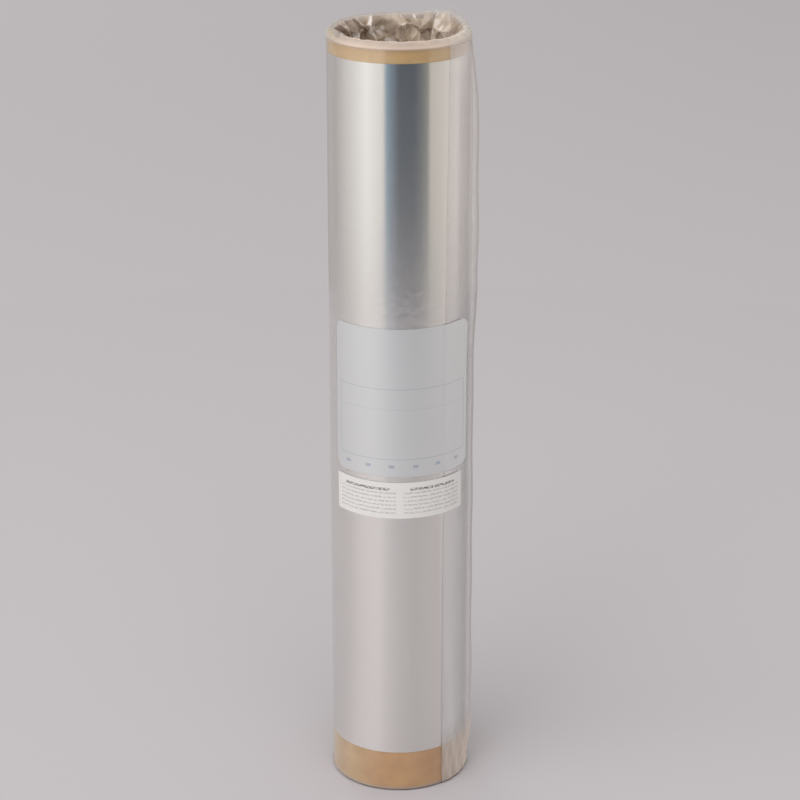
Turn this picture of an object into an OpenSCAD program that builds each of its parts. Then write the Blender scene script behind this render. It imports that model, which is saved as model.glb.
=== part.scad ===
// Roll of stainless steel shim stock on a cardboard core, closed in a clear film bag.
// Z is the roll's axis and the bag stands on z = 0. The labels face -Y, and angles run from there to +X.

/* [Core] */
// Bore of the cardboard core
core_bore_d = 50.8; // [40:0.2:70]
// Wall of the core
core_wall = 3.2; // [2.6:0.1:5]
// Length of the core
core_len = 324; // [322:1:400]

/* [Foil] */
// Width of the foil, which stands upright on the core
foil_w = 300; // [250:1:302]
// Thickness of one turn of foil
foil_t = 0.05; // [0.04:0.01:0.1]
// Length of foil that is wound on
foil_len = 1000; // [600:100:2000]
// Bare core below the foil
foil_lift = 18; // [12:0.5:20]
// How far every second turn stands back at the roll's ends
turn_stagger = 0.2; // [0.1:0.05:0.4]

/* [Film bag] */
// Wall of the bag, drawn thicker than real film
film_t = 0.3; // [0.2:0.05:0.4]
// How far the bag's ends are pushed into the bore
tuck_depth = 34; // [25:1:60]
// Gathered pleats in the upper end
top_pleats = 13; // [7:1:16]
// Gathered pleats in the lower end
foot_pleats = 9; // [5:1:16]
// How far the deepest pleat stands in from the bore
pleat_reach = 7; // [4:0.5:10]
// Sideways lean of the pleats in degrees
pleat_lean = 30; // [10:5:40]

/* [Lap of the bag] */
// Angle of the lap's free edge
lap_edge_angle = 39; // [30:1:42]
// Angle where the lap lifts off the bag
lap_lift_angle = 46; // [44:1:52]
// Angle where the lap comes back to the bag
lap_root_angle = 112; // [100:1:125]
// Greatest height of the lap over the bag
lap_lift = 2.3; // [1.5:0.1:3]
// Distance of the lap from the core's ends
lap_end_gap = 5; // [3:0.5:8]

/* [Labels] */
// Thickness of the labels, drawn thicker than real paper
label_t = 0.3; // [0.2:0.05:0.4]
// Turn of the labels from the front in degrees
label_turn = 2; // [0:1:5]
// Width of the size label, measured round the roll
label_w = 65; // [40:1:68]
// Height of the size label
label_h = 64; // [40:1:80]
// Lower edge of the size label above the ground
label_z = 146; // [140:1:200]
// Corner radius of the size label
label_corner_r = 4; // [1:0.5:6]
// Width of the paper slip, measured round the roll
slip_w = 61; // [40:1:66]
// Height of the slip
slip_h = 16; // [10:1:30]
// Gap between the slip and the size label
slip_gap = 2.5; // [1:0.5:8]
// Corner radius of the slip
slip_corner_r = 0.8; // [0.4:0.2:3]

/* [Hidden] */
$fn = 96;
bore_r = core_bore_d / 2;
core_r = bore_r + core_wall;
core_top = film_t + core_len;
turns = ceil(foil_len / (2 * PI * core_r));
foil_r = core_r + turns * foil_t;
foil_z = film_t + foil_lift;
bag_r = foil_r + film_t;

// The bag stands off the bare core by the foil's height, and rolls over the upper rim in a half round
lining_r = bore_r - film_t;
foot_r = foil_r - core_r;
crown_mid_r = (bore_r + foil_r) / 2;
crown_r = (foil_r - bore_r) / 2;
// Pleats and lap start halfway in the bag's wall, so that they are one piece with it
seat = film_t / 2;
// The shortest pleat reaches this share less than the deepest
pleat_spread = 0.5;
golden_angle = 137.5;

// The lap is an arc through its two seats on the bag, raised by lap_lift at its middle
lap_mid_angle = (lap_lift_angle + lap_root_angle) / 2;
lap_half_angle = (lap_root_angle - lap_lift_angle) / 2;
lap_half_chord = bag_r * sin(lap_half_angle);
lap_rise = bag_r * (1 - cos(lap_half_angle)) + lap_lift;
lap_r = (lap_half_chord ^ 2 + lap_rise ^ 2) / (2 * lap_rise);
lap_axis_r = bag_r + lap_lift - lap_r;
// Its flat edge runs a few degrees past the place where it lifts off
lap_overrun = 3;
// A label's right half crosses the lap, so it reaches out further
label_extra = lap_lift / 2;

// Angle that a length measured round the bag takes up
function turn_of(length) = length / bag_r * 180 / PI;

// Reach of pleat i, spread by the golden angle so that no two neighbours are alike
function reach_of(i) = pleat_reach * (1 - pleat_spread * (1 + sin(golden_angle * i)) / 2);

// Flat wedge between two angles, longer than anything that it cuts
module wedge(from, to) {
    reach = 3 * bag_r;
    polygon([[0, 0], for (a = [from, (from + to) / 2, to]) reach * [sin(a), -cos(a)]]);
}

// Upright rectangle with round corners, standing on the X axis
module rounded_rect(w, h, r) {
    translate([r - w / 2, 0]) square([w - 2 * r, h]);
    translate([-w / 2, r]) square([w, h - 2 * r]);
    for (x = [r - w / 2, w / 2 - r], y = [r, h - r]) translate([x, y]) circle(r);
}

module lap_arc(r) {
    translate(lap_axis_r * [sin(lap_mid_angle), -cos(lap_mid_angle)]) circle(r);
}

// Strip that lies flat on the bag from the lap's free edge to where it lifts off
module lap_edge(r, from) {
    intersection() {
        circle(r);
        wedge(from, lap_lift_angle + lap_overrun);
    }
}

// Outline of the closed bag with its lap, seen from above and grown by g
module bag_outline(g) {
    circle(bag_r + g);
    lap_arc(lap_r + g);
    lap_edge(bag_r + film_t + g, lap_edge_angle - turn_of(g));
}

// Section of what the bag is pulled over, grown by g: square at the foot and half round above
module wrapped_section(g) {
    translate([bore_r - g, film_t]) square([core_wall + g, core_len]);
    translate([bore_r, film_t - g]) square([core_wall, g + foot_r]);
    translate([core_r, film_t + foot_r]) square([foot_r + g, core_len - foot_r]);
    translate([core_r, film_t + foot_r]) circle(foot_r + g);
    translate([crown_mid_r, core_top]) circle(crown_r + g);
    if (g > 0) translate([bore_r, film_t]) circle(g);
}

// Bag's wall outside the core, over its rims and down into the bore at both ends
module bag_wall() {
    rotate_extrude()
        difference() {
            wrapped_section(film_t);
            wrapped_section(0);
            translate([0, film_t + tuck_depth]) square([bore_r, core_len - 2 * tuck_depth]);
        }
}

// Folds that stand in from the bore, from nothing at the rim to their full reach at the bag's end
module pleats(count) {
    intersection() {
        cylinder(r = lining_r + seat, h = tuck_depth);
        for (i = [0 : count - 1])
            rotate([0, 0, (i + 0.5) * 360 / count])
                translate([lining_r, 0, 0])
                    rotate([90, 0, (i % 2 * 2 - 1) * pleat_lean])
                        linear_extrude(2 * film_t, center = true)
                            polygon([[film_t, 0], [0, 0], [-reach_of(i), tuck_depth], [film_t, tuck_depth]]);
    }
}

// Spare width of the bag, folded over the right front
module lap() {
    translate([0, 0, film_t + lap_end_gap])
        linear_extrude(core_len - 2 * lap_end_gap)
            difference() {
                union() {
                    difference() {
                        lap_arc(lap_r);
                        lap_arc(lap_r - film_t);
                    }
                    lap_edge(bag_r + film_t, lap_edge_angle);
                }
                circle(bag_r - seat);
            }
}

// Thin sheet that follows the bag and its lap, cut to a rounded rectangle
module stuck_sheet(w, h, z, corner_r) {
    half_w = bag_r * sin(turn_of(w / 2));
    intersection() {
        translate([0, 0, z - label_t])
            linear_extrude(h + 2 * label_t)
                difference() {
                    bag_outline(label_t);
                    bag_outline(0);
                }
        rotate([0, 0, label_turn])
            translate([label_extra / 2, 0, z])
                rotate([90, 0, 0])
                    linear_extrude(2 * bag_r)
                        rounded_rect(2 * half_w + label_extra, h, corner_r);
    }
}

module core_tube() {
    color("peru")
        translate([0, 0, film_t])
            rotate_extrude()
                translate([bore_r, 0]) square([core_wall, core_len]);
}

// One turned solid whose ends step from turn to turn
module foil_roll() {
    color("silver")
        rotate_extrude()
            for (i = [0 : turns - 1]) {
                back = i % 2 * turn_stagger;
                translate([core_r + i * foil_t, foil_z + back]) square([foil_t, foil_w - 2 * back]);
            }
}

module film_bag() {
    color("gainsboro", 0.5) {
        bag_wall();
        lap();
        translate([0, 0, core_top]) mirror([0, 0, 1]) pleats(top_pleats);
        translate([0, 0, film_t]) pleats(foot_pleats);
    }
}

module size_label() {
    color("lightsteelblue") stuck_sheet(label_w, label_h, label_z, label_corner_r);
}

module paper_slip() {
    color("white") stuck_sheet(slip_w, slip_h, label_z - slip_gap - slip_h, slip_corner_r);
}

core_tube();
foil_roll();
film_bag();
size_label();
paper_slip();
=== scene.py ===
"""Looks of a roll of stainless steel shim foil on a cardboard core, in a clear film bag with two labels.

Shapes are worked out in millimetres and become metres in their meshes. The roll stands on z = 0 with its
axis on Z. The labels face -Y, and angles run in degrees from there towards +X.
"""

from __future__ import annotations

import logging
from dataclasses import dataclass
from enum import Enum, IntEnum
from functools import partial
from typing import Callable

import bpy
import numpy as np
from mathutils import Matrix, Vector

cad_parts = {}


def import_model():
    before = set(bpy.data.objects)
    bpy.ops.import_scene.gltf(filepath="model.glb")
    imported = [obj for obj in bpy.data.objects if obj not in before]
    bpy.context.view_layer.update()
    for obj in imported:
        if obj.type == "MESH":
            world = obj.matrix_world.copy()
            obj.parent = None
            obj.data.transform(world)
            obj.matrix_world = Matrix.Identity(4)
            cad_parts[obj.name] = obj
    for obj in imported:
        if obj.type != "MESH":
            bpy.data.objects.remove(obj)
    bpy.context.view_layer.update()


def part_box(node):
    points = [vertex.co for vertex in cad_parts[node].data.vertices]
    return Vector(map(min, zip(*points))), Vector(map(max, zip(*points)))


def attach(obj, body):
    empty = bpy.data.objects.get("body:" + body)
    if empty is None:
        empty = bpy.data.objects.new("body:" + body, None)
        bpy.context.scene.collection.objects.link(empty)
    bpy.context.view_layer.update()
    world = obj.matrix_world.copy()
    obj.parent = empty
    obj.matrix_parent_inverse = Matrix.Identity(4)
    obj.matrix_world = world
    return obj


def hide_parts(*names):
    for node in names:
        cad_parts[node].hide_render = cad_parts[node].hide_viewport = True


LOG = logging.getLogger("shim_roll")
MM = 0.001  # metres in a millimetre
WHITE = (1.0, 1.0, 1.0, 1.0)
Array = np.ndarray
Pair = tuple[float, float]
Triple = tuple[float, float, float]
Colour = Four = tuple[float, float, float, float]
Socket = bpy.types.NodeSocket
Adder = Callable[..., Socket]  # add_node, bound to its tree


def linear(hex_colour: str) -> Colour:
    """Turns an sRGB hex colour into linear light.

    Args:
        hex_colour: six hex digits, such as "c0b8a8".

    Returns:
        Red, green and blue in linear light, and an alpha of 1.
    """
    srgb = np.array([int(hex_colour[i : i + 2], 16) for i in (0, 2, 4)]) / 255
    light = np.where(srgb <= 0.04045, srgb / 12.92, ((srgb + 0.055) / 1.055) ** 2.4)
    return (*light.tolist(), 1.0)


def smooth_step(value: Array, low: float, high: float) -> Array:
    """Rises from 0 at low to 1 at high as 3u^2 - 2u^3, and stays flat outside."""
    share = np.clip((value - low) / (high - low), 0, 1)
    return share * share * (3 - 2 * share)


def plateau(value: Array, start: float, full: float, fade: float, end: float) -> Array:
    """Rises from 0 at start to 1 at full, and falls from 1 at fade to 0 at end, as two smooth steps."""
    return smooth_step(value, start, full) * smooth_step(-value, -end, -fade)


def soft_step(value: Array, width: float) -> Array:
    """Goes from 0 to 1 about 0, as (1 + x / sqrt(x^2 + width^2)) / 2."""
    return 0.5 * (1 + value / np.sqrt(value * value + width * width))


def soft_ramp(value: Array, width: float) -> Array:
    """The integral of soft_step: flat before 0 and a slope of 1 after it."""
    return 0.5 * (value + np.sqrt(value * value + width * width))


def fold_wave(phase: Array) -> Array:
    """A zigzag of straight flanks and sharp crests from -1 to 1, with one crest in each whole phase."""
    return 4 * np.abs(phase - np.floor(phase) - 0.5) - 1


def scatter(index: Array, seed: float) -> Array:
    """A fixed number from 0 to 1 for each whole number: the fraction of a large sine."""
    return np.modf(np.abs(np.sin((index + 1) * 12.9898 + seed * 78.233)) * 43758.5453)[0]


def lattice(
    col: Array, row: Array, count: int, seed: float
) -> tuple[tuple[tuple[Array, Array, Array], ...], Array]:
    """Splits a plane into triangles, two in each cell of a lattice that closes after some columns.

    A cell is cut along one diagonal or the other by its own fixed number. Inside a triangle the three
    corners share a point by its straight distance from them, so that what is set at the corners spreads as
    flat facets.

    Args:
        col: places along the columns, where a whole number is a corner.
        row: places along the rows.
        count: columns in one turn.
        seed: picks the diagonals.

    Returns:
        For each of a cell's four corners its column, its row and its share, where the shares add up to 1,
        and for each triangle a fixed number from 0 to 1.
    """
    left, low = np.floor(col), np.floor(row)
    x, y = col - left, row - low
    left, right, high = left % count, (left + 1) % count, low + 1
    cell = left + count * low
    rising = scatter(cell, seed) < 0.5
    below, near = x >= y, x + y <= 1
    share_00 = np.where(rising, 1 - np.maximum(x, y), np.where(near, 1 - x - y, 0))
    share_11 = np.where(rising, np.minimum(x, y), np.where(near, 0, x + y - 1))
    share_10 = np.where(rising, np.where(below, x - y, 0), np.where(near, x, 1 - y))
    share_01 = np.where(rising, np.where(below, 0, y - x), np.where(near, y, 1 - x))
    corners = (
        (left, low, share_00), (right, low, share_10), (left, high, share_01), (right, high, share_11))
    return corners, scatter(2 * cell + np.where(rising, below, near), seed + 1)


def around(angle: Array, radius: Array, height: Array) -> Array:
    """Points on turns about the axis: x = r sin a and y = -r cos a, with a in degrees from the front."""
    angle, radius, height = np.broadcast_arrays(np.radians(angle), radius, height)
    return np.stack([radius * np.sin(angle), -radius * np.cos(angle), height], axis=-1)


def grid_piece(
    name: str, points: Array, ring: bool = False, loop: bool = False, sharp: float = 180.0,
    uv: Array | None = None
) -> bpy.types.Object:
    """Makes a mesh object from a grid of points.

    Args:
        name: the object's name.
        points: places in millimetres, as rows by columns by 3. With rows as up and columns as
            left to right on the seen side, the faces point towards the viewer.
        ring: True if the last column joins the first.
        loop: True if the last row joins the first.
        sharp: degrees between two faces past which their edge is drawn sharp.
        uv: the grid's own map, as rows by columns by 2.

    Returns:
        The object, at the origin and in the scene.
    """
    rows, cols = points.shape[:2]
    row, col = np.meshgrid(
        np.arange(rows if loop else rows - 1), np.arange(cols if ring else cols - 1), indexing="ij")
    above, right = (row + 1) % rows, (col + 1) % cols
    corners = np.stack(
        [row * cols + col, row * cols + right, above * cols + right, above * cols + col], axis=-1)
    mesh = bpy.data.meshes.new(name)
    mesh.from_pydata((points.reshape(-1, 3) * MM).tolist(), [], corners.reshape(-1, 4).tolist())
    if uv is not None:
        layer = mesh.uv_layers.new(name="flat")
        layer.data.foreach_set("uv", uv.reshape(-1, 2)[corners.reshape(-1)].astype(np.float32).ravel())
    mesh.shade_smooth()
    if sharp < 180:
        mesh.set_sharp_from_angle(angle=np.radians(sharp))
    piece = bpy.data.objects.new(name, mesh)
    bpy.context.scene.collection.objects.link(piece)
    return piece


def add_node(
    tree: bpy.types.NodeTree, kind: str, sockets: dict | None = None, out: int | str = 0, **settings: object
) -> Socket | None:
    """Adds one shader node.

    Args:
        tree: the material's or world's node tree.
        kind: the node's type, without the leading ShaderNode.
        sockets: for each input, by name or number, its value or the output that feeds it.
        out: the output that is wanted, by name or number.
        settings: the node's own properties.

    Returns:
        The new node's wanted output, or None from a node that has no output.
    """
    node = tree.nodes.new("ShaderNode" + kind)
    for name, value in settings.items():
        setattr(node, name, value)
    for key, value in (sockets or {}).items():
        if isinstance(value, Socket):
            tree.links.new(value, node.inputs[key])
        else:
            node.inputs[key].default_value = value
    return node.outputs[out] if node.outputs else None


def blank_material(name: str) -> tuple[bpy.types.Material, Adder]:
    """A material with an empty node tree, and the function that adds a node to it."""
    material = bpy.data.materials.new(name)
    material.use_nodes = True
    material.node_tree.nodes.clear()
    return material, partial(add_node, material.node_tree)


def dress(piece: bpy.types.Object, material: bpy.types.Material) -> None:
    """Gives every face of a piece one material."""
    piece.data.materials.clear()
    piece.data.materials.append(material)


@dataclass(frozen=True)
class ColdRolledStainless:
    """Bright cold-rolled stainless steel, whose rolling lines spread a reflection along the roll alone."""

    colour: str = "e5e2de"
    roughness: float = 0.17
    anisotropy: float = 0.95
    quarter_turn: float = 0.25
    line_spacing: float = 0.6  # real lines are about 0.02 mm apart, too fine to show
    line_length: float = 125.0
    line_depth: float = 0.02
    patches: Triple = (90.0, 90.0, 14.0)  # in a metre round and along
    polish: Pair = (0.9, 1.12)  # least and most of the roughness

    def material(self) -> bpy.types.Material:
        """Builds the steel, with lines that run round the roll and a faint unevenness of the polish."""
        material, add = blank_material("cold_rolled_stainless")
        place = add("TexCoord", out="Object")
        length, spacing = 1 / (self.line_length * MM), 1 / (self.line_spacing * MM)
        across = add("Mapping", {"Vector": place, "Scale": (length, length, spacing)})
        lines = add("TexNoise", {"Vector": across, "Scale": 1, "Detail": 2})
        bump = add("Bump", {"Height": lines, "Strength": self.line_depth, "Distance": MM})
        along = add("Mapping", {"Vector": place, "Scale": self.patches})
        haze = add("TexNoise", {"Vector": along, "Scale": 1, "Detail": 3})
        least, most = (self.roughness * share for share in self.polish)
        rough = add("MapRange", {"Value": haze, "To Min": least, "To Max": most})
        turn = add("Tangent", direction_type="RADIAL", axis="Z")
        steel = add("BsdfPrincipled", {
            "Base Color": linear(self.colour), "Metallic": 1, "Roughness": rough,
            "Anisotropic": self.anisotropy, "Anisotropic Rotation": self.quarter_turn,
            "Tangent": turn, "Normal": bump})
        add("OutputMaterial", {"Surface": steel})
        return material


@dataclass(frozen=True)
class KraftBoard:
    """Unbleached kraft board, wound from glued strips: matt, ochre, with short fibres and a fine seam."""

    light: str = "cfae78"
    dark: str = "bb955d"
    seam: str = "8f6c42"
    inner: str = "806a50"
    inner_r: float = 25.9
    stain: str = "fae1b8"
    stain_at: Triple = (5.0, -27.0, 8.0)
    stain_reach: Pair = (12.0, 30.0)
    fibre: float = 0.5
    blotch: float = 9.0
    shades: Pair = (0.75, 1.25)  # fibre and blotch together, at the darkest and lightest
    seam_pitch: float = 104.0
    seam_lag: float = 0.087  # keeps the seam at the back where the board shows
    seam_width: float = 0.004
    ply: float = 0.4
    relief: float = 0.35
    relief_height: float = 0.1
    roughness: float = 0.75

    def seam_line(self, add: Adder, axes: bpy.types.NodeOutputs) -> Socket:
        """Gives 1 on the seam and 0 beside it, where z / pitch + the turn's share - lag is nearly whole.

        Args:
            add: adds a node to the material.
            axes: the outputs of x, y and z.

        Returns:
            The seam's output.
        """
        turn = add("Math", {0: axes[0], 1: axes[1]}, operation="ARCTAN2")
        turns = add("Math", {0: turn, 1: 1 / (2 * np.pi), 2: -self.seam_lag}, operation="MULTIPLY_ADD")
        climb = add("Math", {0: axes[2], 1: 1 / (self.seam_pitch * MM), 2: turns},
                    operation="MULTIPLY_ADD")
        phase = add("Math", {0: climb}, operation="FRACT")
        return add("Math", {0: phase, 1: self.seam_width}, operation="LESS_THAN")

    def material(self) -> bpy.types.Material:
        """Builds the board: a climbing seam, plies on its ends, a darker inner ply and one stained spot."""
        material, add = blank_material("kraft_board")
        place = add("TexCoord", out="Object")
        fibres = add("TexNoise", {
            "Vector": place, "Scale": 1 / (self.fibre * MM), "Detail": 4, "Roughness": 0.7})
        blotches = add("TexNoise", {"Vector": place, "Scale": 1 / (self.blotch * MM), "Detail": 2})
        both = add("Math", {0: fibres, 1: blotches}, operation="ADD")
        shade = add("MapRange", {"Value": both, "From Min": self.shades[0], "From Max": self.shades[1]})
        body = add("Mix", {0: shade, 6: linear(self.dark), 7: linear(self.light)},
                   out=2, data_type="RGBA")

        centre = tuple(part * MM for part in self.stain_at)
        near, far = (reach * MM for reach in self.stain_reach)
        away = add("VectorMath", {0: place, 1: centre}, out="Value", operation="DISTANCE")
        stained = add("MapRange", {"Value": away, "From Min": far, "From Max": near},
                      interpolation_type="SMOOTHSTEP")
        body = add("Mix", {0: stained, 6: body, 7: linear(self.stain)},
                   out=2, data_type="RGBA", blend_type="MULTIPLY")
        axes = add("SeparateXYZ", {0: place}).node.outputs
        joined = add("Mix", {0: self.seam_line(add, axes), 6: body, 7: linear(self.seam)},
                     out=2, data_type="RGBA")

        flat = add("CombineXYZ", {0: axes[0], 1: axes[1]})
        radius = add("VectorMath", {0: flat}, out="Value", operation="LENGTH")
        lining = add("Math", {0: radius, 1: self.inner_r * MM}, operation="LESS_THAN")
        lined = add("Mix", {0: lining, 6: joined, 7: linear(self.inner)}, out=2, data_type="RGBA")
        plies = add("Math", {0: radius, 1: 2 * np.pi / (self.ply * MM)}, operation="MULTIPLY")
        rings = add("Math", {0: plies}, operation="SINE")
        up = add("SeparateXYZ", {0: add("NewGeometry", out="Normal")}, out=2)
        on_end = add("Math", {0: up, 1: up}, operation="MULTIPLY")
        relief = add("Math", {0: rings, 1: on_end, 2: fibres}, operation="MULTIPLY_ADD")
        bump = add("Bump", {
            "Height": relief, "Strength": self.relief, "Distance": self.relief_height * MM})
        board = add("BsdfPrincipled", {
            "Base Color": lined, "Roughness": self.roughness, "Normal": bump})
        add("OutputMaterial", {"Surface": board})
        return material


@dataclass(frozen=True)
class LaidFilm:
    """How the film lies at each point of its grid. What gives no unit is a share from 0 to 1."""

    core_top: float
    z: Array  # millimetres above the ground
    depth: Array  # millimetres inside the bore
    angle: Array  # degrees from the front, which run on past 360 in the lap
    shift: Array  # degrees by which a crumpled point is moved round
    layer: Array  # 0, 1 or 2 from the bag's lowest layer outwards
    crown: Array  # on the rim
    foot: Array  # turned under the core
    inside: Array  # in the bore
    inner_face: Array  # down the rim's inner side and in the bore
    light: Array  # how light the facet is painted
    puff: Array  # where the rim puffs up
    low_lap: Array  # where the lap's lower end is crumpled
    crumple: Array  # millimetres by which it then stands off

    def front(self) -> Array:
        """1 towards the labels and 0 at the sides and the back, by the cosine of the angle."""
        return smooth_step(np.cos(np.radians(self.angle - 6)), 0.15, 0.8)

    def right(self) -> Array:
        """From 0 at the left to 1 at the right, as (1 + sin a) / 2."""
        return 0.5 + 0.5 * np.sin(np.radians(self.angle + self.shift))

    def slack(self) -> Array:
        """The lap's outer layer, where it stands off the steel."""
        return (self.layer / 2) ** 2 * smooth_step(self.angle, 427, 441) * (1 - self.crown)

    def lining(self) -> Array:
        """The film in the bore and on the inner face of the rim."""
        return np.maximum(smooth_step(self.inner_face, 0.05, 0.4), self.inside)

    def painted_shadow_line(self) -> Array:
        """The last 2 mm above the ground, on the outside, where a shadow is painted."""
        return smooth_step(2.0 - self.z, 0, 1.3) * (1 - self.inside)


@dataclass(frozen=True)
class ClearFilm:
    """Clear cast polypropylene film: glossy, nearly colourless, and milky where it is edge on or strained."""

    square_on: float = 0.14  # two thin layers of IOR 1.5, with four faces
    square_on_doubled: float = 0.26
    edge_on: float = 0.9
    steepness: float = 3.3
    slant_left: str = "b4b0af"  # what the longest way through the film leaves of the light
    slant_steepness: float = 8.0
    roughness: float = 0.08
    milk_roughness: float = 0.5
    milk_reach: float = 1.2  # haze is divided by this less the slant, so that it grows to the edge
    milk: str = "eceae9"
    # painted bounce light: the board's light thrown back through the milky film, in cream on the rim's front
    # and on the lap's foot
    painted_board_bounce: str = "e2ccbb"
    slack: str = "c8c2bf"
    over_rim: str = "c9c1b6"
    # the tucked film's brown over the board, from painted shade on dark facets to painted light on light ones
    bore_brown_painted_shade: str = "6c5647"
    bore_painted_light: str = "dac8b4"
    # painted shadow along the foot, where the film meets the ground
    painted_foot_shadow: str = "9a8a80"
    bore_mirror: str = "e6d8c6"
    crinkle: float = 3.0
    crinkle_depth: float = 0.045
    haze_single: float = 0.03
    haze_layer: float = 0.02
    haze_slack: float = 0.26
    # milk that lets the painted shadow along the foot show
    haze_foot_shadow: float = 0.6
    haze_crumple: Pair = (0.26, 0.3)  # all over it, and for each millimetre
    haze_rim: Triple = (0.25, 0.55, 0.1)  # all round, in front and to the right
    haze_bore: Pair = (0.55, 0.35)  # in a dark facet, and what a light one adds
    bore_light: Four = (0.28, 0.2, 0.9, 0.6)  # painted light of the bore's facets: base, to the right, by facet, with depth
    # share of a painted highlight: white milk on the lightest facets in the bore
    glint: float = 0.65

    def haze(self, laid: LaidFilm) -> Array:
        """Gives how milky the film is, seen square on.

        A little in each layer, and more where it is slack, along the foot where a shadow is painted, and in
        the crumple of the lap. In the bore a facet painted light has more than a dark one. The ring on the
        rim is strongest in front, and the puff takes from it.

        Args:
            laid: how the film lies.

        Returns:
            The haze at each point.
        """
        slack, lining = laid.slack(), laid.lining()
        base, front, right = self.haze_rim
        rim = smooth_step(laid.z, laid.core_top - 1.0, laid.core_top) * (1 - laid.inside)
        ring = rim * (1 - 0.75 * laid.puff) * (base + front * laid.front() + right * laid.right())
        ring = ring * (1.15 - 0.7 * laid.crown)
        dark, light = self.haze_bore
        tuck = lining * (dark + light * laid.light) * (1 - 0.3 * laid.puff)
        haze = self.haze_single + self.haze_layer * laid.layer * (1 - slack)
        haze = haze + self.haze_slack * slack * (1 - laid.foot) + (1 - lining) * ring + tuck
        overall, raised = self.haze_crumple
        return haze + self.haze_foot_shadow * laid.painted_shadow_line() + overall * laid.low_lap + raised * laid.crumple

    def tone(self, laid: LaidFilm) -> Array:
        """Gives the milk's colour.

        Colours are laid over the milk, each by its own share as a + (b - a) times the share: grey where it is
        slack; grey beige near the rim and at the lap's foot, with the board's bounce light painted in cream
        towards the rim's front, less to the right, and on the lap's foot; a painted shadow along the foot;
        and in the bore the board's brown, painted from shade to light by the facet, lighter to the right and
        down to 8 mm, dimmer past
        18 mm, with a painted highlight on the lightest.

        Args:
            laid: how the film lies.

        Returns:
            The colour at each point, in linear light.
        """
        right, lining, light, depth = laid.right(), laid.lining(), laid.light, laid.depth
        near_rim = smooth_step(laid.z, laid.core_top - 6, laid.core_top - 2) * (1 - 0.9 * laid.puff)
        # painted bounce light of the board on the rim: full in front, less to the right
        painted_bounce_share = laid.front() * (1 - 0.6 * smooth_step(right, 0.72, 0.9))
        # painted light and shade of the bore's facets: lighter to the right, by the facet and down to 8 mm,
        # dimmer past 18 mm
        base, by_right, by_facet, by_depth = self.bore_light
        painted_lightness = base + by_right * right + by_facet * (light - 0.5)
        painted_lightness = np.clip(painted_lightness + by_depth * smooth_step(depth, 2.5, 8), 0, 1)
        painted_lightness = painted_lightness * (1 - 0.35 * smooth_step(depth, 18, 30))
        # painted highlight on the lightest facets, weaker to the right
        glint = self.glint * smooth_step(light, 0.76, 0.88) * (1 - 0.6 * smooth_step(right, 0.7, 0.9))
        layers = (
            (laid.slack(), self.slack), (np.maximum(near_rim, laid.low_lap), self.over_rim),
            (np.maximum(near_rim * painted_bounce_share, 0.6 * laid.low_lap), self.painted_board_bounce),
            (laid.painted_shadow_line(), self.painted_foot_shadow), (lining, self.bore_brown_painted_shade),
            (lining * painted_lightness, self.bore_painted_light), (lining * glint, self.milk))
        tone = np.array(linear(self.milk))
        for share, colour in layers:
            tone = tone + (np.array(linear(colour)) - tone) * share[..., None]
        return tone

    def material(self) -> bpy.types.Material:
        """Builds the film: a thin mirror over clear, with milk of the piece's "tone", which carries painted
        light and shade, by its "haze".
        """
        material, add = blank_material("clear_film")
        place = add("TexCoord", out="Object")
        crinkles = add("TexNoise", {"Vector": place, "Scale": 1 / (self.crinkle * MM), "Detail": 1})
        bump = add("Bump", {"Height": crinkles, "Strength": self.crinkle_depth, "Distance": MM})
        facing = add("LayerWeight", {"Blend": 0.5, "Normal": bump}, out="Facing")
        grazing = add("Math", {0: facing, 1: self.steepness}, operation="POWER")
        doubled = add("Attribute", out="Fac", attribute_name="doubled")
        least = add("MapRange", {
            "Value": doubled, "To Min": self.square_on, "To Max": self.square_on_doubled})
        mirror = add("MapRange", {"Value": grazing, "To Min": least, "To Max": self.edge_on})
        slant = add("Math", {0: facing, 1: self.slant_steepness}, operation="POWER")
        left = add("Mix", {0: slant, 6: WHITE, 7: linear(self.slant_left)}, out=2, data_type="RGBA")
        clear = add("BsdfTransparent", {"Color": left})
        glint = add("Mix", {0: doubled, 6: WHITE, 7: linear(self.bore_mirror)}, out=2, data_type="RGBA")
        shine = add("BsdfPrincipled", {
            "Base Color": glint, "Metallic": 1, "Roughness": self.roughness, "Normal": bump})
        glossy = add("MixShader", {0: mirror, 1: clear, 2: shine})
        straight = add("Math", {0: self.milk_reach, 1: facing}, operation="SUBTRACT")
        haze = add("Attribute", out="Fac", attribute_name="haze")
        thick = add("Math", {0: haze, 1: straight}, operation="DIVIDE", use_clamp=True)
        tone = add("Attribute", out="Color", attribute_name="tone")
        milk = add("BsdfPrincipled", {
            "Base Color": tone, "Roughness": self.milk_roughness, "Normal": bump})
        film = add("MixShader", {0: thick, 1: glossy, 2: milk})
        add("OutputMaterial", {"Surface": film})
        return material


@dataclass(frozen=True)
class Rule:
    """A printed bar on a label: its middle from the lower left corner, its length, height and strength."""

    x: float
    y: float
    length: float
    height: float
    cover: float = 1.0


def frame_rules() -> tuple[Rule, ...]:
    """The size label's print: a frame, one thinner rule across it and a row of six bars in its foot."""
    middle, width, centre, height, line = 33.1, 59.3, 22.95, 30.8, 0.28
    return (
        Rule(middle, 38.2, width, line), Rule(middle, 7.7, width, line), Rule(middle, 29.4, width, 0.2, 0.6),
        Rule(3.45, centre, line, height), Rule(62.75, centre, line, height),
        *(Rule(8.0 + 10.0 * i, 4.5, 2.3, 1.3, 1.3) for i in range(6)))


def text_rules(pitch: float = 1.75) -> tuple[Rule, ...]:
    """The slip's print: in each of two columns a heading and six lines below it, one pitch apart."""
    columns, top = (16.0, 45.5), 13.0
    headings = (Rule(x, top, 21.0, 1.15, 1.2) for x in columns)
    lines = (Rule(x, top - pitch * i, 26.5, 0.75, 0.5) for i in range(1, 7) for x in columns)
    return (*headings, *lines)


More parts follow.
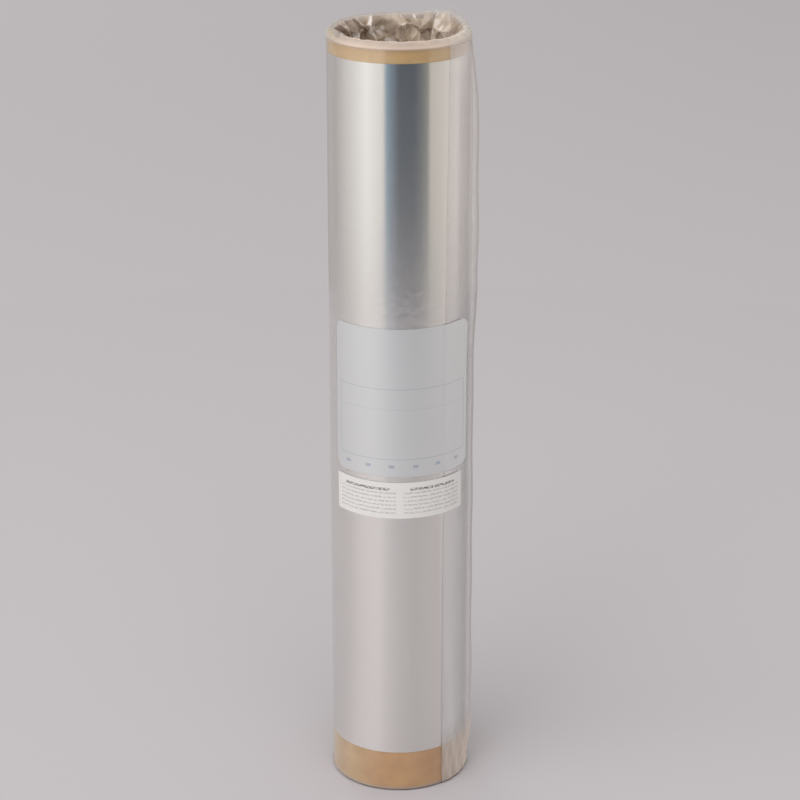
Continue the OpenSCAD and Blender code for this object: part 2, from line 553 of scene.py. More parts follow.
@dataclass(frozen=True)
class LabelPaper:
    """Label paper with plain printed rules: coated and calendered to a soft sheen, or matt offset paper."""

    name: str
    colour: str
    roughness: float
    ink: str
    rules: tuple[Rule, ...]
    ink_cover: float = 0.8
    metallic: float = 0.0
    word: float = 0.0  # length of a word, by which the rules are broken up
    word_height: float = 1.75 / 3
    word_edge: Pair = (0.44, 0.56)
    between_words: float = 0.1
    fibre: float = 0.4
    fibre_tone: Pair = (0.96, 1.03)
    fibre_depth: float = 0.15
    fibre_height: float = 0.05

    def print_cover(self, add: Adder, across: Socket, upward: Socket) -> Socket:
        """Gives how much ink covers the paper: the strongest rule there, broken into words if they are given.

        Args:
            add: adds a node to the material.
            across: the output of millimetres from the label's left edge.
            upward: the output of millimetres from its lower edge.

        Returns:
            The cover's output, before the ink's own strength.
        """
        inked = None
        for rule in self.rules:
            in_x = add("Math", {0: across, 1: rule.x, 2: rule.length / 2}, operation="COMPARE")
            in_y = add("Math", {0: upward, 1: rule.y, 2: rule.height / 2}, operation="COMPARE")
            inside = add("Math", {0: in_x, 1: in_y}, operation="MULTIPLY")
            bar = add("Math", {0: inside, 1: rule.cover}, operation="MULTIPLY")
            inked = bar if inked is None else add("Math", {0: inked, 1: bar}, operation="MAXIMUM")
        if self.word:
            place = add("CombineXYZ", {
                0: add("Math", {0: across, 1: self.word}, operation="DIVIDE"),
                1: add("Math", {0: upward, 1: self.word_height}, operation="DIVIDE")})
            words = add("TexNoise", {"Vector": place, "Scale": 1, "Detail": 1})
            low, high = self.word_edge
            spelled = add("MapRange", {
                "Value": words, "From Min": low, "From Max": high, "To Min": self.between_words})
            inked = add("Math", {0: inked, 1: spelled}, operation="MULTIPLY")
        return inked

    def material(self, width: float, height: float) -> bpy.types.Material:
        """Builds the paper and its rules on the piece's flat map.

        Args:
            width: the label's width, which the map's first axis spans.
            height: the label's height, which the second one spans.

        Returns:
            The material.
        """
        material, add = blank_material(self.name)
        flat = add("UVMap", uv_map="flat")
        axes = add("SeparateXYZ", {0: flat}).node.outputs
        across = add("Math", {0: axes[0], 1: width}, operation="MULTIPLY")
        upward = add("Math", {0: axes[1], 1: height}, operation="MULTIPLY")
        inked = self.print_cover(add, across, upward)
        cover = add("Math", {0: inked, 1: self.ink_cover}, operation="MULTIPLY")
        place = add("TexCoord", out="Object")
        fibres = add("TexNoise", {"Vector": place, "Scale": 1 / (self.fibre * MM), "Detail": 3})
        darkest, lightest = self.fibre_tone
        tone = add("MapRange", {"Value": fibres, "To Min": darkest, "To Max": lightest})
        paper = add("Mix", {0: 1.0, 6: linear(self.colour), 7: tone},
                    out=2, data_type="RGBA", blend_type="MULTIPLY")
        printed = add("Mix", {0: cover, 6: paper, 7: linear(self.ink)}, out=2, data_type="RGBA")
        bump = add("Bump", {
            "Height": fibres, "Strength": self.fibre_depth, "Distance": self.fibre_height * MM})
        coated = add("BsdfPrincipled", {
            "Base Color": printed, "Metallic": self.metallic, "Roughness": self.roughness,
            "Normal": bump})
        add("OutputMaterial", {"Surface": coated})
        return material


@dataclass(frozen=True)
class WrapForm:
    """The outside of the bag: how its layers lie round the roll at each height."""

    bag_r: float
    core_low: float
    core_top: float
    edge_foot: float = 38.8
    edge_rise: float = 4.2
    lap_width: float = 53.0
    root: float = 112.0
    lift_start: float = 52.0
    lift: float = 2.95
    layer_gap: float = 0.14
    taut_share: float = 0.65  # what the tighter film above the label takes from a gap
    taut_from: Pair = (205.0, 235.0)
    course: float = 0.72  # the lift's share along the roll below the label's top
    course_step: float = 0.42
    step_from: Pair = (196.0, 224.0)
    ripple: Pair = (0.05, 6.3)  # height, and millimetres in a radian
    swells: tuple[Triple, ...] = (  # height, place and reach
        (0.08, 240.0, 15.0), (-0.12, 300.0, 14.0), (-0.07, 165.0, 20.0), (0.10, 40.0, 25.0))
    low_ease: Pair = (1.0, 22.0)  # up from the core's foot
    top_ease: Pair = (-2.0, 28.0)  # down from its top
    edge_ease: Pair = (-3.0, 0.5)  # degrees before and past the lap's free edge

    def gap_at(self, z: Array) -> Array:
        """Room from one layer of film to the next, which is a third as wide above the label."""
        return self.layer_gap * (1 - self.taut_share * smooth_step(z, *self.taut_from))

    def edge_angle(self, z: Array) -> Array:
        """The lap's free edge, which leans to the right as the square of the height."""
        return self.edge_foot + self.edge_rise * (np.clip(z, 0, self.core_top) / self.core_top) ** 2

    def lift_at(self, angle: Array, z: Array) -> Array:
        """Height of the lap over the bag: a squared sine bow from where it lifts off to its root.

        Along the roll it is flat at the ends, steps up above the label, ripples as a sine, and has a swell
        over that step and one near the foot, a dip near the top and one at the label, each as exp(-u^2).

        Args:
            angle: degrees from the front.
            z: height above the ground.

        Returns:
            The height over the bag's lowest layer.
        """
        bow = np.sin(np.pi * np.clip((angle - self.lift_start) / (self.root - self.lift_start), 0, 1)) ** 2
        low, high = (self.core_low + part for part in self.low_ease)
        ends = smooth_step(z, low, high) * smooth_step(self.core_top - z, *self.top_ease)
        course = self.course + self.course_step * smooth_step(z, *self.step_from)
        course = course + self.ripple[0] * np.sin(z / self.ripple[1])
        for height, at, reach in self.swells:
            course = course + height * np.exp(-(((z - at) / reach) ** 2))
        return self.lift * bow * ends * course

    def outer(self, angle: Array, z: Array) -> Array:
        """Height of the bag's outermost layer over its lowest one, with the step at the lap's edge eased."""
        step = 2 * self.gap_at(z) * smooth_step(angle - self.edge_angle(z), *self.edge_ease)
        return step + self.lift_at(angle, z)


@dataclass
class CardboardCore:
    """The cardboard tube, wound from strips of board, with cut ends whose corners are slightly crushed."""

    bore_r: float
    outer_r: float
    low: float
    top: float
    board: KraftBoard
    corner: float = 0.25
    columns: int = 240

    def build(self) -> bpy.types.Object:
        """Turns the wall's section about the axis.

        The section is a tall rectangle with corners of a quarter round, r = r0 + c cos q and
        z = z0 + c sin q.

        Returns:
            The tube's object.
        """
        quarter = np.linspace(0, np.pi / 2, 5)
        corners = (
            (self.outer_r - self.corner, self.top - self.corner, 0.0),
            (self.bore_r + self.corner, self.top - self.corner, 0.5),
            (self.bore_r + self.corner, self.low + self.corner, 1.0),
            (self.outer_r - self.corner, self.low + self.corner, 1.5))
        section = np.concatenate([
            np.stack([r + self.corner * np.cos(quarter + start * np.pi),
                      z + self.corner * np.sin(quarter + start * np.pi)], axis=-1)
            for r, z, start in corners])
        angle = np.linspace(0, 360, self.columns, endpoint=False)
        points = around(angle[None, :], section[:, :1], section[:, 1:])
        tube = grid_piece("cardboard_core", points, ring=True, loop=True, sharp=50)
        dress(tube, self.board.material())
        return tube


@dataclass
class FoilCoil:
    """The shim foil, wound on the core as one spiral whose turns show on the coil's ends."""

    core_r: float
    outer_r: float
    low: float
    top: float
    steel: ColdRolledStainless
    turns: float = 5.5
    thickness: float = 0.042  # a little less than the pitch, so that the turns don't touch
    free_end: float = 205.0
    stagger: float = 0.22
    steps_per_turn: int = 180

    def build(self) -> bpy.types.Object:
        """Winds the foil.

        The section of the sheet is a tall thin rectangle, carried along a spiral whose radius grows evenly
        with the turns. Its upper and lower edges wander by the stagger as a sum of two sines of the turn,
        and come back to the foil's full width on the outermost turn. The first and last columns close the
        sheet's ends.

        Returns:
            The coil's object.
        """
        turn = np.linspace(0, self.turns, int(self.turns * self.steps_per_turn) + 1)
        turn = np.concatenate([turn[:1], turn, turn[-1:]])
        angle = self.free_end + 360 * (turn - self.turns)
        pitch = (self.outer_r - self.core_r) / (self.turns + 0.5)
        outside = self.outer_r - pitch * (self.turns - turn)
        inside = outside - self.thickness
        inside[[0, -1]] = outside[[0, -1]] = outside[[0, -1]] - self.thickness / 2
        wander = self.stagger * (0.5 + 0.3 * np.sin(4.1 * turn) + 0.2 * np.sin(9.7 * turn + 1))
        wander *= smooth_step(self.turns - turn, 0.9, 1.1)
        top, low = self.top - wander, self.low + wander
        points = np.stack([
            around(angle, outside, top), around(angle, outside, low),
            around(angle, inside, low), around(angle, inside, top)], axis=1)
        coil = grid_piece("shim_foil_coil", points, ring=True, sharp=35)
        dress(coil, self.steel.material())
        return coil


class Rows(IntEnum):
    """How many rows of the grid each stretch of the bag's course is worked out with."""

    TUCK = 66
    RIM = 24
    WALL = 76
    BEND = 8
    UNDER = 7
    MOUTH = 6
    RISE = 27


@dataclass(frozen=True)
class Folds:
    """One lattice of folds in a tucked end: its corners in a turn, its facets' height and their reach."""

    count: int
    size: float
    reach: float
    weight: float  # its say in how light a facet is painted
    crested: bool  # True if every second column is a crest


@dataclass
class FilmBag:
    """The clear bag: a tube of film pulled over the roll, lapped at the right and tucked into both ends."""

    form: WrapForm
    bore_r: float
    film: ClearFilm
    tuck_depth: float = 34.0
    crown_height: float = 2.4
    back_rise: float = 0.8
    foot_bow: float = 0.35
    foot_r: float = 0.9
    mouth_r: float = 0.28
    floor: float = 0.26
    fold_width: float = 0.35
    crowd: float = 2.5  # how many more columns there are in a degree at a fold of the lap
    crowd_reach: float = 3.5
    folds: tuple[Folds, ...] = (Folds(30, 4.6, 6.6, 0.65, True), Folds(72, 0.45 * 4.6, 0.7, 0.35, False))
    seeds: Pair = (0.37, 0.61)  # of the upper and the lower end
    puff_span: Four = (88.0, 128.0, 135.0, 172.0)  # start, full, fade and end
    puff_height: float = 2.8
    puff_reach: float = 0.8
    crown_reach: float = 3.0  # how deep into the folds the rim's inner side counts
    low_span: Four = (392.0, 404.0, 440.0, 466.0)  # the crumpled lower end of the lap
    low_height: Pair = (14.0, 28.0)
    columns: int = 450

    @property
    def travel(self) -> float:
        """Degrees that the film covers on one way round the bag: a full turn and the lap there and back."""
        return 360 + 2 * self.form.lap_width

    def path(self) -> dict[str, Array]:
        """The bag's course from its upper tuck over the rim, down the outside and up into the bore again.

        The rim is a half ellipse, the outer wall's rows crowd towards both ends as a cosine, and the foot is
        a quarter round with a flat run under the core.

        Returns:
            Columns of one number a row: radius, height, the outward normal as across and up, depth inside
            the bore, and the shares of crown (along the half ellipse's sine) and of foot.
        """
        form = self.form
        lining, top = self.bore_r, form.core_top
        mid, half = (lining + form.bag_r) / 2, (form.bag_r - lining) / 2
        down = self.tuck_depth * np.linspace(1, 0, Rows.TUCK)[:-1] ** 1.6
        arc = np.linspace(np.pi, 0, Rows.RIM)
        drop = 0.5 - 0.5 * np.cos(np.pi * np.linspace(0, 1, Rows.WALL)[1:-1])
        bend = np.linspace(0, -np.pi / 2, Rows.BEND)
        turn_in = np.linspace(-np.pi / 2, -np.pi, Rows.MOUTH)
        rise = self.tuck_depth * np.linspace(0, 1, Rows.RISE)[1:] ** 1.3
        foot_mid = form.bag_r + self.foot_bow - self.foot_r
        mouth_mid = lining + self.mouth_r
        wall_low = self.floor + self.foot_r
        under = np.linspace(foot_mid, mouth_mid, Rows.UNDER)[1:-1]
        wall = form.bag_r + self.foot_bow * smooth_step(drop, 0.985, 1.0)
        runs = (
            (lining, top - down, -1, 0, down, 0, 0),
            (mid + half * np.cos(arc), top + self.crown_height * np.sin(arc),
             np.cos(arc), np.sin(arc), 0, np.sin(arc), 0),
            (wall, top + (wall_low - top) * drop, 1, 0, 0, 0, 0),
            (foot_mid + self.foot_r * np.cos(bend), wall_low + self.foot_r * np.sin(bend),
             np.cos(bend), np.sin(bend), 0, 0, -np.sin(bend)),
            (under, self.floor, 0, -1, 0, 0, 1),
            (mouth_mid + self.mouth_r * np.cos(turn_in), self.floor + self.mouth_r * (1 + np.sin(turn_in)),
             np.cos(turn_in), np.sin(turn_in), 0, 0, 1),
            (lining, self.floor + self.mouth_r + rise, -1, 0, rise, 0, 0))
        names = ("radius", "height", "across", "up", "depth", "crown", "foot")
        blocks = [np.stack(np.broadcast_arrays(*run), axis=-1) for run in runs]
        return dict(zip(names, np.concatenate(blocks).T[:, :, None]))

    def travelled(self) -> Array:
        """Degrees travelled at each column, three times as close together near the two folds of the lap."""
        form = self.form
        first = 360 - form.root + form.edge_angle(form.core_top / 2) + form.lap_width
        fine = np.linspace(0, self.travel, 4 * self.columns)
        close = 1 + sum(
            self.crowd / (1 + ((fine - fold) / self.crowd_reach) ** 2)
            for fold in (first, first + form.lap_width))
        share = np.concatenate([[0], np.cumsum((close[1:] + close[:-1]) / 2)])
        return np.interp(np.linspace(0, share[-1], self.columns, endpoint=False), share, fine)

    def lay(self, z: Array) -> tuple[Array, Array]:
        """Takes the film round the bag, on to the lap's hidden fold, back to its free edge and on again.

        After t degrees of travel, with the folds at t1 and t2, the angle is
        root + t - 2 ramp(t - t1) + 2 ramp(t - t2), and the layer steps from 0 to 1 and 2 at the folds. It
        comes back down to 0 over the last 20 degrees before the root.

        Args:
            z: height above the ground.

        Returns:
            Degrees from the front, which run on past 360, and the layer.
        """
        form, width = self.form, self.fold_width
        travel = self.travelled()[None, :]
        first = travel - (360 - form.root + form.edge_angle(z) + form.lap_width)
        second = first - form.lap_width
        angle = form.root + travel - 2 * soft_ramp(first, width) + 2 * soft_ramp(second, width)
        layer = soft_step(first, width) + soft_step(second, width)
        back_down = smooth_step(angle, 340 + form.root, 360 + form.root) * smooth_step(second, 20, 30)
        return angle, layer * (1 - back_down)

    def gather(self, angle: Array, depth: Array, seed: float) -> tuple[Array, Array, Array, Array]:
        """The crumpled folds of a tucked end.

        The film is laid out as flat triangles between the corners of a lattice, a coarse one and a finer one
        on top. Every second column of corners in the coarse one is a crest of its own height that leans its
        own way, and each corner is moved by its own chance. All of it grows from nothing at the rim.

        Args:
            angle: degrees from the front.
            depth: how far the film is past the top of the rim.
            seed: picks the heights, places and diagonals.

        Returns:
            How far the film stands in from the bore, the degrees by which it is shifted round, how much
            deeper it lies, and how light its facet is painted, from 0 to 1.
        """
        inward, shift, deeper, light = 0.0, 0.0, 0.0, 0.0
        for folds in self.folds:
            count, size = folds.count, folds.size
            corners, facet = lattice(angle / 360 * count, depth / size, count, seed + folds.reach)
            light = light + folds.weight * facet
            for at, level, share in corners:
                number = at + count * level
                crest = (at % 2) * folds.crested
                grown = smooth_step(level * size, -0.8 * size, 8) * (level > 0)
                tall = crest * (0.45 + 0.55 * scatter(at, seed + 3)) + 0.32 * scatter(number, seed + 4)
                lean = crest * 0.9 * (2 * scatter(at, seed + 7) - 1) + 0.7 * (scatter(number, seed + 8) - 0.5)
                inward = inward + share * grown * (folds.reach * tall)
                shift = shift + share * grown * lean * 360 / count
                deeper = deeper + share * grown * size * 0.7 * (scatter(number, seed + 9) - 0.5)
        return inward, shift, deeper, light

    def build(self) -> bpy.types.Object:
        """Lays the film on a grid of columns round the bag and rows along its course, and dresses it.

        It stands off its course by the layers under it, the lift of the lap, wrinkles round the rim and a
        crumple of the lap's lower end, and in from the bore by the folds of the tuck. The rim rises a little
        at the back and puffs up behind the right side.

        Returns:
            The bag's object, with its milkiness as the point attributes "haze", "doubled" and "tone", where
            "tone" carries painted light and shade.
        """
        form, path = self.form, self.path()
        z, depth, crown, foot = (path[key] for key in ("height", "depth", "crown", "foot"))
        angle, layer = self.lay(z)
        inside = smooth_step(depth, 0, 1.5)
        gap = form.gap_at(z) * (1 - 0.3 * foot) + 0.9 * smooth_step(depth, 0, 12)
        lifted = form.lift_at(angle - 360, z) * (layer / 2) ** 2 * (1 - inside) * (1 - foot)
        wrinkle = 0.09 * fold_wave(31 * angle / 360 + 0.3) + 0.10 * fold_wave(19 * angle / 360 + z / 9)
        streak = fold_wave(30 * angle / 360 + z / 24), fold_wave(47 * angle / 360 - z / 17)
        low, high = self.low_height
        low_lap = plateau(angle, *self.low_span) * smooth_step(-z, -high, -low)
        low_lap = low_lap * (layer / 2) ** 2 * (1 - inside) * (1 - foot)
        crumple = low_lap * (0.3 + 0.18 * streak[0] + 0.12 * streak[1])
        offset = gap * layer + lifted + wrinkle * crown + crumple

        inner_face = np.where(path["across"] < 0, 1 - crown, 0)
        over_rim = self.crown_reach * inner_face + depth
        upper = z > form.core_top / 2
        ends = (self.gather(angle, over_rim, seed) for seed in self.seeds)
        inward, shift, deeper, light = (np.where(upper, *pair) for pair in zip(*ends))
        radius = path["radius"] + path["across"] * offset - inward
        height = z + path["up"] * offset - np.where(upper, deeper, -deeper) * inside

        puff = plateau(angle % 360, *self.puff_span) * crown
        height = height + self.puff_height * puff * (1 + 0.12 * np.sin(np.radians(angle) * 17))
        height = height + self.back_rise * smooth_step(-np.cos(np.radians(angle)), 0, 1) * crown
        radius = radius + self.puff_reach * puff
        bag = grid_piece("clear_film_bag", around(angle + shift, radius, height), ring=True, sharp=55)

        laid = LaidFilm(form.core_top, z, depth, angle, shift, layer, crown, foot, inside, inner_face,
                        light, puff, low_lap, crumple)
        shares = {"haze": self.film.haze(laid), "doubled": np.maximum(inner_face, inside)}
        for name, share in shares.items():
            share = np.broadcast_to(share, angle.shape).astype(np.float32)
            bag.data.attributes.new(name, "FLOAT", "POINT").data.foreach_set("value", share.ravel())
        tone = self.film.tone(laid).astype(np.float32)
        bag.data.attributes.new("tone", "FLOAT_COLOR", "POINT").data.foreach_set("color", tone.ravel())
        dress(bag, self.film.material())
        return bag


@dataclass
class StuckLabel:
    """A paper label stuck on the bag, which follows it over the step and the swell of the lap."""

    name: str
    form: WrapForm
    paper: LabelPaper
    width: float
    height: float
    low: float
    turn: float
    corner: float
    thickness: float = 0.09
    seat: float = 0.04
    columns: int = 121
    rows: int = 41
    corner_rows: int = 9

    def build(self) -> bpy.types.Object:
        """Wraps a flat grid with round corners onto the bag.

        A row's half width is W/2 - c + sqrt(c^2 - e^2), where e is how far the row lies inside the corner's
        zone of size c, and an arc length s lies at the angle turn + s / r.

        Returns:
            The label's object, with its flat map running from 0 to 1 across and up.
        """
        ease = self.corner * (1 - np.cos(np.linspace(0, np.pi / 2, self.corner_rows)))
        middle = np.linspace(self.corner, self.height - self.corner, self.rows)[1:-1]
        up = np.concatenate([ease, middle, (self.height - ease)[::-1]])[:, None]
        into = np.clip(self.corner - np.minimum(up, self.height - up), 0, None)
        half = self.width / 2 - self.corner + np.sqrt(np.clip(self.corner**2 - into**2, 0, None))
        across = half * np.linspace(-1, 1, self.columns)[None, :]
        angle = self.turn + np.degrees(across / self.form.bag_r)
        z = self.low + up + 0 * across
        points = around(angle, self.form.bag_r + self.form.outer(angle, z) + self.seat, z)
        flat = np.stack([across / self.width + 0.5, up / self.height + 0 * across], axis=-1)
        label = grid_piece(self.name, points, uv=flat)
        wall = label.modifiers.new("paper", "SOLIDIFY")
        wall.thickness = self.thickness * MM
        wall.offset = 1
        dress(label, self.paper.material(self.width, self.height))
        return label


class WallTone(Enum):
    """Tones of the room that the steel mirrors, by the compass from the labelled front towards +X."""

    BACK = (-180.0, "a6a1a0")
    LEFT_REAR = (-142.0, "b8b4b2")
    LEFT = (-120.0, "b2afae")
    LEFT_FRONT = (-103.0, "c7c3c2")
    SOFT_BOX_RIM = (-76.0, "e3e1df")
    SOFT_BOX = (-52.0, "fdfdfb")
    SOFT_BOX_END = (-25.5, "e6e4e2")
    DARK_RIM = (-18.5, "7797a8")
    DARK_RIM_END = (-11.0, "69798a")
    DARK = (0.0, "3b4853")
    DARK_END = (24.0, "3f4b56")
    SHADE = (36.0, "666b6f")
    SHADE_END = (46.0, "888a82")
    RIGHT_EDGE = (50.0, "c7c3bd")
    RIGHT = (75.0, "d6d0ca")
    RIGHT_REAR = (103.0, "ece2de")
    RIGHT_FAR = (138.0, "d8d0cc")
    DIM = (150.0, "a5a09e")
    BACK_AGAIN = (180.0, "a6a1a0")


class FloorTone(Enum):
    """How light the floor looks in the steel, by the same compass: lit by the soft box, dim by the camera."""

    BACK = (-180.0, "d4d4d4")
    BACK_LEFT = (-166.0, "ededed")
    LEFT_REAR = (-127.0, "e7e7e7")
    LEFT = (-100.0, "e6e6e6")
    LEFT_FRONT = (-85.0, "ebebeb")
    SOFT_BOX_RIM = (-64.0, "f8f8f8")
    SOFT_BOX = (-52.0, "fcfcfc")
    SOFT_BOX_MIDDLE = (-41.0, "ffffff")
    SOFT_BOX_END = (-30.0, "fefefe")
    FADING = (-19.0, "f4f4f4")
    DARK_RIM = (-9.0, "eeeeee")
    DARK = (2.0, "e8e8e8")
    SHADE = (23.0, "e3e3e3")
    SHADE_END = (56.0, "e2e2e2")
    RIGHT_EDGE = (68.0, "e4e4e4")
    RIGHT = (82.0, "f9f9f9")
    RIGHT_MIDDLE = (96.0, "f5f5f5")
    RIGHT_REAR = (113.0, "fafafa")
    RIGHT_FAR = (132.0, "f0f0f0")
    DIM = (146.0, "b4b4b4")
    BACK_RIGHT = (164.0, "bcbcbc")
    BACK_AGAIN = (180.0, "d4d4d4")


def tones_round(
    tones: type[Enum], reach: float = 0.0, count: int = 31, steps: int = 41
) -> list[tuple[float, Colour]]:
    """Lists tones by the compass, each averaged over a reach to either side where one is given.

    Args:
        tones: pairs of degrees and a hex colour, from -180 to 180.
        reach: degrees to either side that a tone is averaged over.
        count: how many averaged tones there are.
        steps: how many places each is averaged from.

    Returns:
        Pairs of degrees and a colour in linear light.
    """
    given = [(tone.value[0], linear(tone.value[1])) for tone in tones]
    if not reach:
        return given
    at, light = np.array([place for place, _ in given]), np.array([colour for _, colour in given])
    places = np.linspace(-180, 180, count)
    near = (places[:, None] + np.linspace(-reach, reach, steps) + 180) % 360 - 180
    mean = np.stack([np.interp(near, at, channel).mean(axis=1) for channel in light.T], axis=-1)
    return list(zip(places.tolist(), map(tuple, mean.tolist())))


def compass_tone(add: Adder, tones: list[tuple[float, Colour]]) -> Socket:
    """Finds the tone in a direction, by the angle atan2(x, -y) on the piece's coordinates.

    Args:
        add: adds a node to the material.
        tones: degrees and colours that it is blended between, at most 32.

    Returns:
        The tone's output.
    """
    axes = add("SeparateXYZ", {0: add("TexCoord", out="Object")}).node.outputs
    front = add("Math", {0: axes[1], 1: -1.0}, operation="MULTIPLY")
    compass = add("Math", {0: axes[0], 1: front}, operation="ARCTAN2")
    share = add("MapRange", {"Value": compass, "From Min": -np.pi, "From Max": np.pi})
    ramp = add("ValToRGB", {0: share})
    stops = ramp.node.color_ramp.elements
    for (degrees, colour), stop in zip(tones[:2], stops):
        stop.position, stop.color = degrees / 360 + 0.5, colour
    for degrees, colour in tones[2:]:
        stops.new(degrees / 360 + 0.5).color = colour
    return ramp


@dataclass(frozen=True)
class PaintedBoard:
    """Pale emulsion paint on board: matt, and seen by the steel a little lighter towards the lit walls."""

    colour: str = "b8b3b5"
    in_gloss: float = 1.345
    roughness: float = 0.9
    specular: float = 0.2

    def material(self) -> bpy.types.Material:
        """Builds the paint, which a glossy ray sees as its colour times the floor's tone and level."""
        material, add = blank_material("painted_board")
        tone = compass_tone(add, tones_round(FloorTone))
        level = add("VectorMath", {0: tone, "Scale": self.in_gloss}, operation="SCALE")
        mirrored = add("Mix", {0: 1.0, 6: linear(self.colour), 7: level},
                       out=2, data_type="RGBA", blend_type="MULTIPLY")
        gloss = add("LightPath", out="Is Glossy Ray")
        colour = add("Mix", {0: gloss, 6: linear(self.colour), 7: mirrored}, out=2, data_type="RGBA")
        paint = add("BsdfPrincipled", {
            "Base Color": colour, "Roughness": self.roughness, "Specular IOR Level": self.specular})
        add("OutputMaterial", {"Surface": paint})
        return material


@dataclass(frozen=True)
class RoomLight:
    """The room's own light on its wall: soft boxes and dark stretches, which the steel mirrors as bands."""

    glow: float = 1.1
    skirt: str = "b0acab"
    skirt_height: float = 0.08  # metres
    skirt_share: float = 0.38
    skirt_blurs: Pair = (10.0, 20.0)

    def material(self) -> bpy.types.Material:
        """Builds the light, whose tones blur to ever wider averages down the skirt and blend into one."""
        material, add = blank_material("room_wall_light")
        place = add("TexCoord", out="Object")
        up = add("SeparateXYZ", {0: place}, out=2)
        low = add("MapRange", {"Value": up, "From Max": self.skirt_height, "To Min": 1, "To Max": 0})
        mirrored = compass_tone(add, tones_round(WallTone))
        part = 1 / len(self.skirt_blurs)
        for step, reach in enumerate(self.skirt_blurs):
            share = add("MapRange", {
                "Value": low, "From Min": step * part, "From Max": (step + 1) * part})
            blurred = compass_tone(add, tones_round(WallTone, reach))
            mirrored = add("Mix", {0: share, 6: mirrored, 7: blurred}, out=2, data_type="RGBA")
        share = add("Math", {0: low, 1: self.skirt_share}, operation="MULTIPLY")
        tone = add("Mix", {0: share, 6: mirrored, 7: linear(self.skirt)}, out=2, data_type="RGBA")
        shine = add("Emission", {"Color": tone, "Strength": self.glow})
        add("OutputMaterial", {"Surface": shine})
        return material


@dataclass(frozen=True)
class Lamp:
    """A square area lamp: its place and size in metres, and its power in watts."""

    name: str
    place: Triple
    size: float
    watts: float

    def build(self, aim: Vector) -> None:
        """Hangs the lamp to face a point. It leaves no mark in gloss."""
        data = bpy.data.lights.new(self.name, "AREA")
        data.size, data.energy = self.size, self.watts
        lamp = bpy.data.objects.new(self.name, data)
        bpy.context.scene.collection.objects.link(lamp)
        lamp.location = self.place
        lamp.rotation_euler = (aim - lamp.location).to_track_quat("-Z", "Y").to_euler()
        lamp.visible_glossy = False


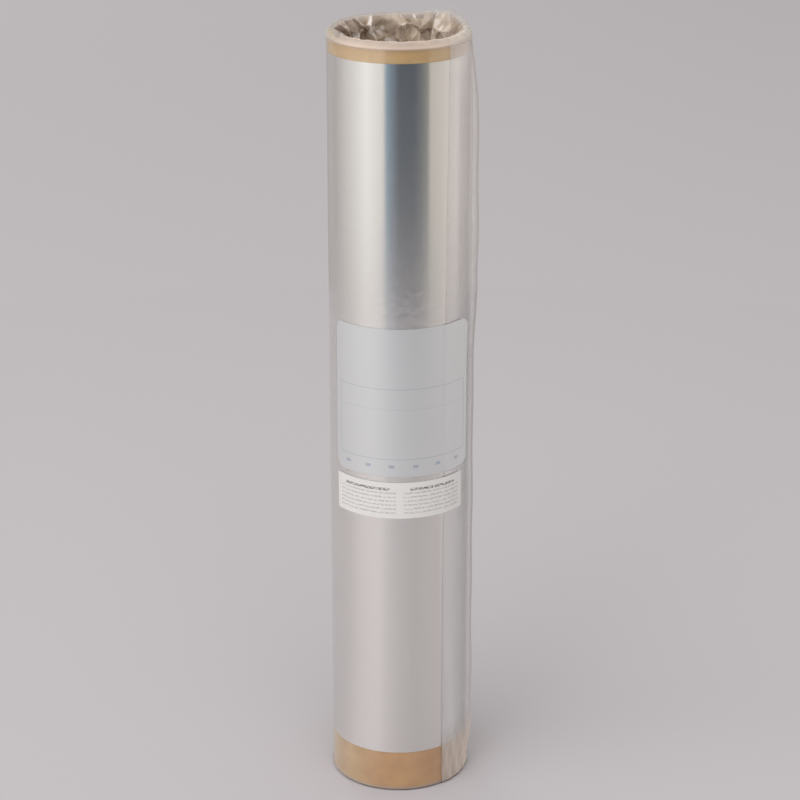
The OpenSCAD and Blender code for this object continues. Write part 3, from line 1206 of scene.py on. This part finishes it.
@dataclass
class Studio:
    """The photo studio: a pale floor, soft lamps, an even sky, and a room wall that only the steel sees.

    Its lengths are metres, and the camera's lens and sensor are millimetres.
    """

    paint: PaintedBoard = PaintedBoard()
    floor_reach: float = 12.0
    room_light: RoomLight = RoomLight()
    wall_r: float = 0.69
    wall_height: float = 1.6
    wall_columns: int = 180
    sky: float = 0.66
    sky_in_gloss: float = 0.85
    lamps: tuple[Lamp, ...] = (
        Lamp("key_lamp", (-1.6, -1.3, 1.9), 2.6, 28.0), Lamp("back_lamp", (-1.3, 2.8, 1.5), 1.2, 14.0),
        Lamp("fill_lamp", (-0.1, -1.2, 2.2), 2.0, 22.0))
    roll_middle: Triple = (0.0, 0.0, 0.16)
    camera_place: Triple = (0.0, -0.9602, 0.5257)
    camera_tilt: float = 69.61
    lens: float = 110.03
    sensor: float = 36.0
    lens_shift: Pair = (0.00136, 0.00088)

    def build(self) -> None:
        """Makes the floor, the wall, the lamps, the sky and the camera."""
        self.floor()
        self.room_wall()
        for lamp in self.lamps:
            lamp.build(Vector(self.roll_middle))
        self.world()
        self.camera()

    def floor(self) -> None:
        """A wide floor, as a flat grid of one face."""
        reach = self.floor_reach / MM
        x, y = np.meshgrid((-reach, reach), (-reach, reach))
        floor = grid_piece("studio_floor", np.stack([x, y, 0 * x], axis=-1))
        dress(floor, self.paint.material())

    def room_wall(self) -> None:
        """A tall cylinder round the roll, which shines and is seen in gloss alone."""
        angle = np.linspace(0, 360, self.wall_columns, endpoint=False)[None, :]
        height = np.linspace(0, self.wall_height / MM, 2)[:, None]
        wall = grid_piece("studio_room_wall", around(angle, self.wall_r / MM, height), ring=True)
        dress(wall, self.room_light.material())
        wall.visible_camera = wall.visible_diffuse = wall.visible_shadow = False
        wall.visible_transmission = wall.visible_volume_scatter = False

    def world(self) -> None:
        """An even sky, a little brighter in gloss."""
        world = bpy.data.worlds.new("studio_sky")
        world.use_nodes = True
        world.node_tree.nodes.clear()
        add = partial(add_node, world.node_tree)
        gloss = add("LightPath", out="Is Glossy Ray")
        level = add("MapRange", {"Value": gloss, "To Min": self.sky, "To Max": self.sky_in_gloss})
        sky = add("Background", {"Color": WHITE, "Strength": level})
        add("OutputWorld", {"Surface": sky})
        bpy.context.scene.world = world

    def camera(self) -> None:
        """The camera, placed by a fit to the roll's edges in the photograph."""
        data = bpy.data.cameras.new("studio_camera")
        data.sensor_width, data.lens = self.sensor, self.lens
        data.shift_x, data.shift_y = self.lens_shift
        camera = bpy.data.objects.new("studio_camera", data)
        bpy.context.scene.collection.objects.link(camera)
        camera.location = self.camera_place
        camera.rotation_euler = (np.radians(self.camera_tilt), 0.0, 0.0)
        bpy.context.scene.camera = camera


def reach_of(node: str) -> Triple:
    """How far a CAD node reaches towards +X, down and up, in millimetres to the hundredth."""
    low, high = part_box(node)
    return tuple(round(place / MM, 2) for place in (high.x, low.z, high.z))


def main() -> None:
    logging.basicConfig(level=logging.INFO, format="%(name)s: %(message)s")
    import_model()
    bpy.context.scene.view_settings.view_transform = "Standard"
    Studio().build()

    bore_r, off_bore, off_foil = 25.4, 0.12, 0.07  # the film lies a little off the bore and off the foil
    core_r, core_low, core_top = reach_of("core_tube")
    foil_r, foil_low, foil_top = reach_of("foil_roll")
    _, label_low, label_top = reach_of("size_label")
    _, slip_low, slip_top = reach_of("paper_slip")
    form = WrapForm(bag_r=round(foil_r + off_foil, 2), core_low=core_low, core_top=core_top)
    size_paper = LabelPaper(
        "coated_label_paper", "d6d7d7", 0.34, "8b9fb5", frame_rules(), ink_cover=0.42, metallic=0.5)
    slip_paper = LabelPaper("white_offset_paper", "e2dfdc", 0.55, "5e5d5d", text_rules(), word=1.0)

    coil = FoilCoil(core_r, foil_r, foil_low, foil_top, ColdRolledStainless()).build()
    core = CardboardCore(bore_r, core_r, core_low, core_top, KraftBoard()).build()
    bag = FilmBag(form, bore_r - off_bore, ClearFilm()).build()
    size_label = StuckLabel(
        "paper_size_label", form, size_paper, width=65.0, height=label_top - label_low, low=label_low,
        turn=2.9, corner=4.0).build()
    slip = StuckLabel(
        "white_paper_slip", form, slip_paper, width=61.0, height=slip_top - slip_low, low=slip_low,
        turn=0.4, corner=0.8).build()
    dressed = (
        (core, "core_tube", "core_board"), (coil, "foil_roll", "stainless_foil"),
        (bag, "film_bag", "clear_film"), (size_label, "size_label", "label_paper"),
        (slip, "paper_slip", "slip_paper"))
    for piece, node, slot in dressed:
        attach(piece, "root")
        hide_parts(node)
        LOG.info("%s stands for %s, with %d faces", piece.name, node, len(piece.data.polygons))


if __name__ == "__main__":
    main()
